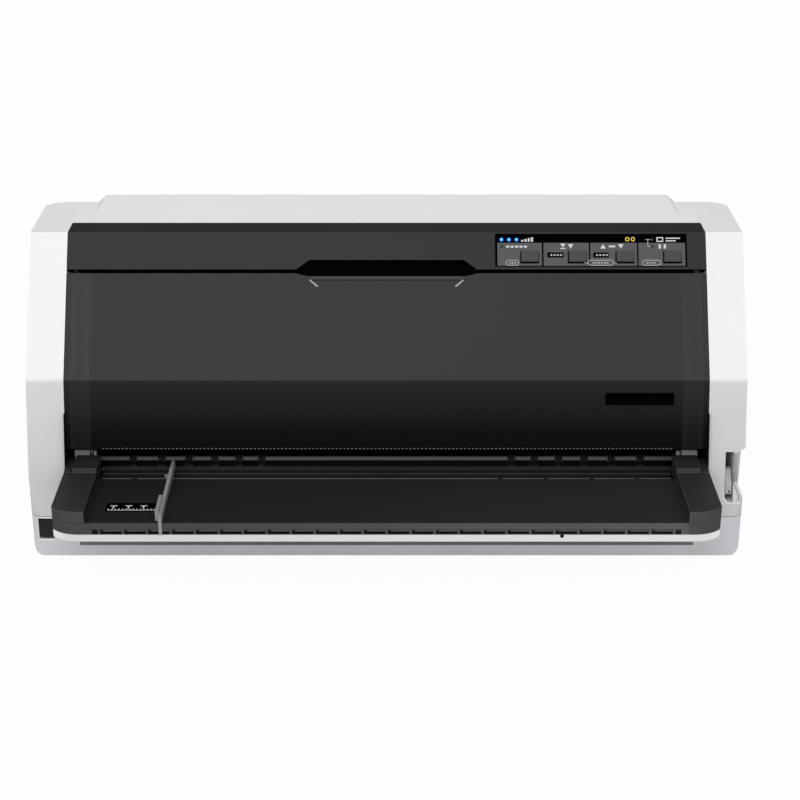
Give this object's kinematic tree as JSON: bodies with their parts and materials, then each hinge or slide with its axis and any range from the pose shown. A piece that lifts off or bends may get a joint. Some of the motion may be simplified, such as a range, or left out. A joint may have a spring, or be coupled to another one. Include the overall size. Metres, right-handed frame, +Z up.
{
  "type": "dot matrix printer",
  "caption": "Flatbed dot matrix printer with a smoky hinged front cover, rear cover, front sheet tray, control panel and full print mechanism.",
  "frame": {"origin": "middle of the footprint box, on the surface that the feet stand on", "axes": "+X to the right seen from the front, -Y towards the user at the front tray, +Z up"},
  "size_m": [0.48, 0.3724, 0.2111],
  "materials": {
    "base_plastic": "fine texture",
    "foot_rubber": "matt",
    "white_plastic": "fine texture",
    "black_plastic": "satin",
    "panel_plastic": "satin",
    "button_plastic": "satin",
    "circuit_board": "solder mask",
    "light_lens": "clear lens",
    "smoky_cover": "smoked clear plastic",
    "tray_plastic": "fine texture",
    "grey_plastic": "satin",
    "gear_plastic": "moulded",
    "sheet_steel": "zinc plated",
    "bright_steel": "ground",
    "head_metal": "cast and anodised",
    "port_metal": "plated",
    "roller_rubber": "matt"
  },
  "bodies": {
    "root": {"base_pan": "base_plastic", "rubber_feet": "foot_rubber", "upper_housing": "white_plastic", "front_fascia": "black_plastic", "control_panel": "panel_plastic", "panel_board": "circuit_board", "status_lights": "light_lens", "cover_bumpers": "foot_rubber", "rear_hinge_rod": "bright_steel", "tray_body": "tray_plastic", "tray_band": "white_plastic", "front_paper_guide": "tray_plastic", "rear_paper_guide": "tray_plastic", "upper_paper_guide": "tray_plastic", "left_side_frame": "sheet_steel", "right_side_frame": "sheet_steel", "front_beam": "sheet_steel", "rear_beam": "sheet_steel", "platen": "roller_rubber", "carriage_shaft": "bright_steel", "carriage_rail": "sheet_steel", "carriage_motor": "sheet_steel", "idler_bracket": "sheet_steel", "timing_belt": "roller_rubber", "feed_belt": "roller_rubber", "feed_motor": "sheet_steel", "shaft_bushes": "gear_plastic", "tractor_rod": "bright_steel", "main_board": "circuit_board", "power_supply": "circuit_board", "interface_ports": "port_metal", "power_inlet": "black_plastic", "screws": "bright_steel"},
    "front_cover": {"front_cover": "smoky_cover", "cover_hinge_pins": "grey_plastic"},
    "rear_cover": {"rear_cover": "white_plastic"},
    "button_1": {"button_1": "button_plastic"},
    "button_2": {"button_2": "button_plastic"},
    "button_3": {"button_3": "button_plastic"},
    "button_4": {"button_4": "button_plastic"},
    "edge_guide": {"edge_guide": "grey_plastic"},
    "release_lever": {"release_lever": "grey_plastic"},
    "power_switch": {"power_switch": "black_plastic"},
    "carriage": {"carriage": "tray_plastic", "print_head": "head_metal", "ribbon_cartridge": "black_plastic"},
    "ribbon_knob": {"ribbon_knob": "grey_plastic"},
    "motor_pulley": {"motor_pulley": "bright_steel"},
    "idler_pulley": {"idler_pulley": "grey_plastic"},
    "rear_feed": {"rear_feed_roller": "bright_steel"},
    "front_feed": {"front_feed_roller": "bright_steel"},
    "rear_pinch": {"rear_pinch_roller": "grey_plastic"},
    "front_pinch": {"front_pinch_roller": "grey_plastic"},
    "motor_pinion": {"motor_pinion": "bright_steel"},
    "idler_gear": {"idler_gear": "gear_plastic"},
    "tractor_shaft": {"tractor_shaft": "bright_steel"},
    "left_tractor": {"left_tractor": "grey_plastic"},
    "right_tractor": {"right_tractor": "grey_plastic"},
    "left_flap": {"left_flap": "grey_plastic"},
    "right_flap": {"right_flap": "grey_plastic"}
  },
  "joints": [
    {"name": "front_cover_hinge", "type": "hinge", "parent": "root", "child": "front_cover", "pos_m": [0, -0.10734, 0.0822], "axis": [1, 0, 0], "range_deg": [0, 118]},
    {"name": "rear_cover_hinge", "type": "hinge", "parent": "root", "child": "rear_cover", "pos_m": [0, 0.03021, 0.20392], "axis": [1, 0, 0], "range_deg": [0, 100]},
    {"name": "button_1_press", "type": "slide", "parent": "root", "child": "button_1", "axis": [0, 0.8369, -0.5474], "range_m": [0, 0.001], "stiffness_N_per_m": 300, "springref_m": -0.0005},
    {"name": "button_2_press", "type": "slide", "parent": "root", "child": "button_2", "axis": [0, 0.8369, -0.5474], "range_m": [0, 0.001], "stiffness_N_per_m": 300, "springref_m": -0.0005},
    {"name": "button_3_press", "type": "slide", "parent": "root", "child": "button_3", "axis": [0, 0.8369, -0.5474], "range_m": [0, 0.001], "stiffness_N_per_m": 300, "springref_m": -0.0005},
    {"name": "button_4_press", "type": "slide", "parent": "root", "child": "button_4", "axis": [0, 0.8369, -0.5474], "range_m": [0, 0.001], "stiffness_N_per_m": 300, "springref_m": -0.0005},
    {"name": "edge_guide_slide", "type": "slide", "parent": "root", "child": "edge_guide", "axis": [1, 0, 0], "range_m": [-0.03, 0.04]},
    {"name": "release_lever_pivot", "type": "hinge", "parent": "root", "child": "release_lever", "pos_m": [0.2296, -0.1058, 0.049], "axis": [-1, 0, 0], "range_deg": [0, 30]},
    {"name": "power_rocker", "type": "hinge", "parent": "root", "child": "power_switch", "pos_m": [-0.2295, -0.1224, 0.023], "axis": [1, 0, 0], "range_deg": [0, 15]},
    {"name": "carriage_slide", "type": "slide", "parent": "root", "child": "carriage", "axis": [1, 0, 0], "range_m": [0, 0.3]},
    {"name": "ribbon_knob_turn", "type": "hinge", "parent": "carriage", "child": "ribbon_knob", "pos_m": [-0.122, -0.014, 0.125], "axis": [0, 0, 1], "continuous": true},
    {"name": "motor_pulley_spin", "type": "hinge", "parent": "root", "child": "motor_pulley", "pos_m": [-0.178, 0.06, 0.085], "axis": [0, 0, 1], "continuous": true},
    {"name": "idler_pulley_spin", "type": "hinge", "parent": "root", "child": "idler_pulley", "pos_m": [0.178, 0.06, 0.085], "axis": [0, 0, 1], "continuous": true},
    {"name": "rear_feed_spin", "type": "hinge", "parent": "root", "child": "rear_feed", "pos_m": [0, 0.062, 0.0516], "axis": [1, 0, 0], "continuous": true},
    {"name": "front_feed_spin", "type": "hinge", "parent": "root", "child": "front_feed", "pos_m": [0, -0.0965, 0.0516], "axis": [1, 0, 0], "continuous": true},
    {"name": "rear_pinch_spin", "type": "hinge", "parent": "root", "child": "rear_pinch", "pos_m": [0, 0.062, 0.0605], "axis": [1, 0, 0], "continuous": true},
    {"name": "front_pinch_spin", "type": "hinge", "parent": "root", "child": "front_pinch", "pos_m": [0, -0.0965, 0.0605], "axis": [1, 0, 0], "continuous": true},
    {"name": "motor_pinion_spin", "type": "hinge", "parent": "root", "child": "motor_pinion", "pos_m": [0.2, 0.04489, 0.02623], "axis": [1, 0, 0], "continuous": true},
    {"name": "idler_gear_spin", "type": "hinge", "parent": "root", "child": "idler_gear", "pos_m": [0.203, 0.10405, 0.04475], "axis": [1, 0, 0], "continuous": true},
    {"name": "tractor_shaft_spin", "type": "hinge", "parent": "root", "child": "tractor_shaft", "pos_m": [0, 0.14, 0.048], "axis": [1, 0, 0], "continuous": true},
    {"name": "left_tractor_slide", "type": "slide", "parent": "root", "child": "left_tractor", "axis": [1, 0, 0], "range_m": [-0.04, 0.06]},
    {"name": "right_tractor_slide", "type": "slide", "parent": "root", "child": "right_tractor", "axis": [1, 0, 0], "range_m": [-0.06, 0.04]},
    {"name": "left_flap_hinge", "type": "hinge", "parent": "left_tractor", "child": "left_flap", "pos_m": [-0.1274, 0.14, 0.0609], "axis": [0, -1, 0], "range_deg": [0, 110]},
    {"name": "right_flap_hinge", "type": "hinge", "parent": "right_tractor", "child": "right_flap", "pos_m": [0.1274, 0.14, 0.0609], "axis": [0, 1, 0], "range_deg": [0, 110]}
  ],
  "couplings": [
    {"joint": "motor_pulley_spin", "follows": "carriage_slide", "rad_per_m": 111.11},
    {"joint": "idler_pulley_spin", "follows": "carriage_slide", "rad_per_m": 111.11},
    {"joint": "front_feed_spin", "follows": "rear_feed_spin", "ratio": 1},
    {"joint": "motor_pinion_spin", "follows": "rear_feed_spin", "ratio": -2.8125},
    {"joint": "idler_gear_spin", "follows": "rear_feed_spin", "ratio": -1.125},
    {"joint": "tractor_shaft_spin", "follows": "rear_feed_spin", "ratio": 1.4062},
    {"joint": "front_pinch_spin", "follows": "rear_feed_spin", "ratio": -2.3077},
    {"joint": "rear_pinch_spin", "follows": "rear_feed_spin", "ratio": -2.3077}
  ]
}
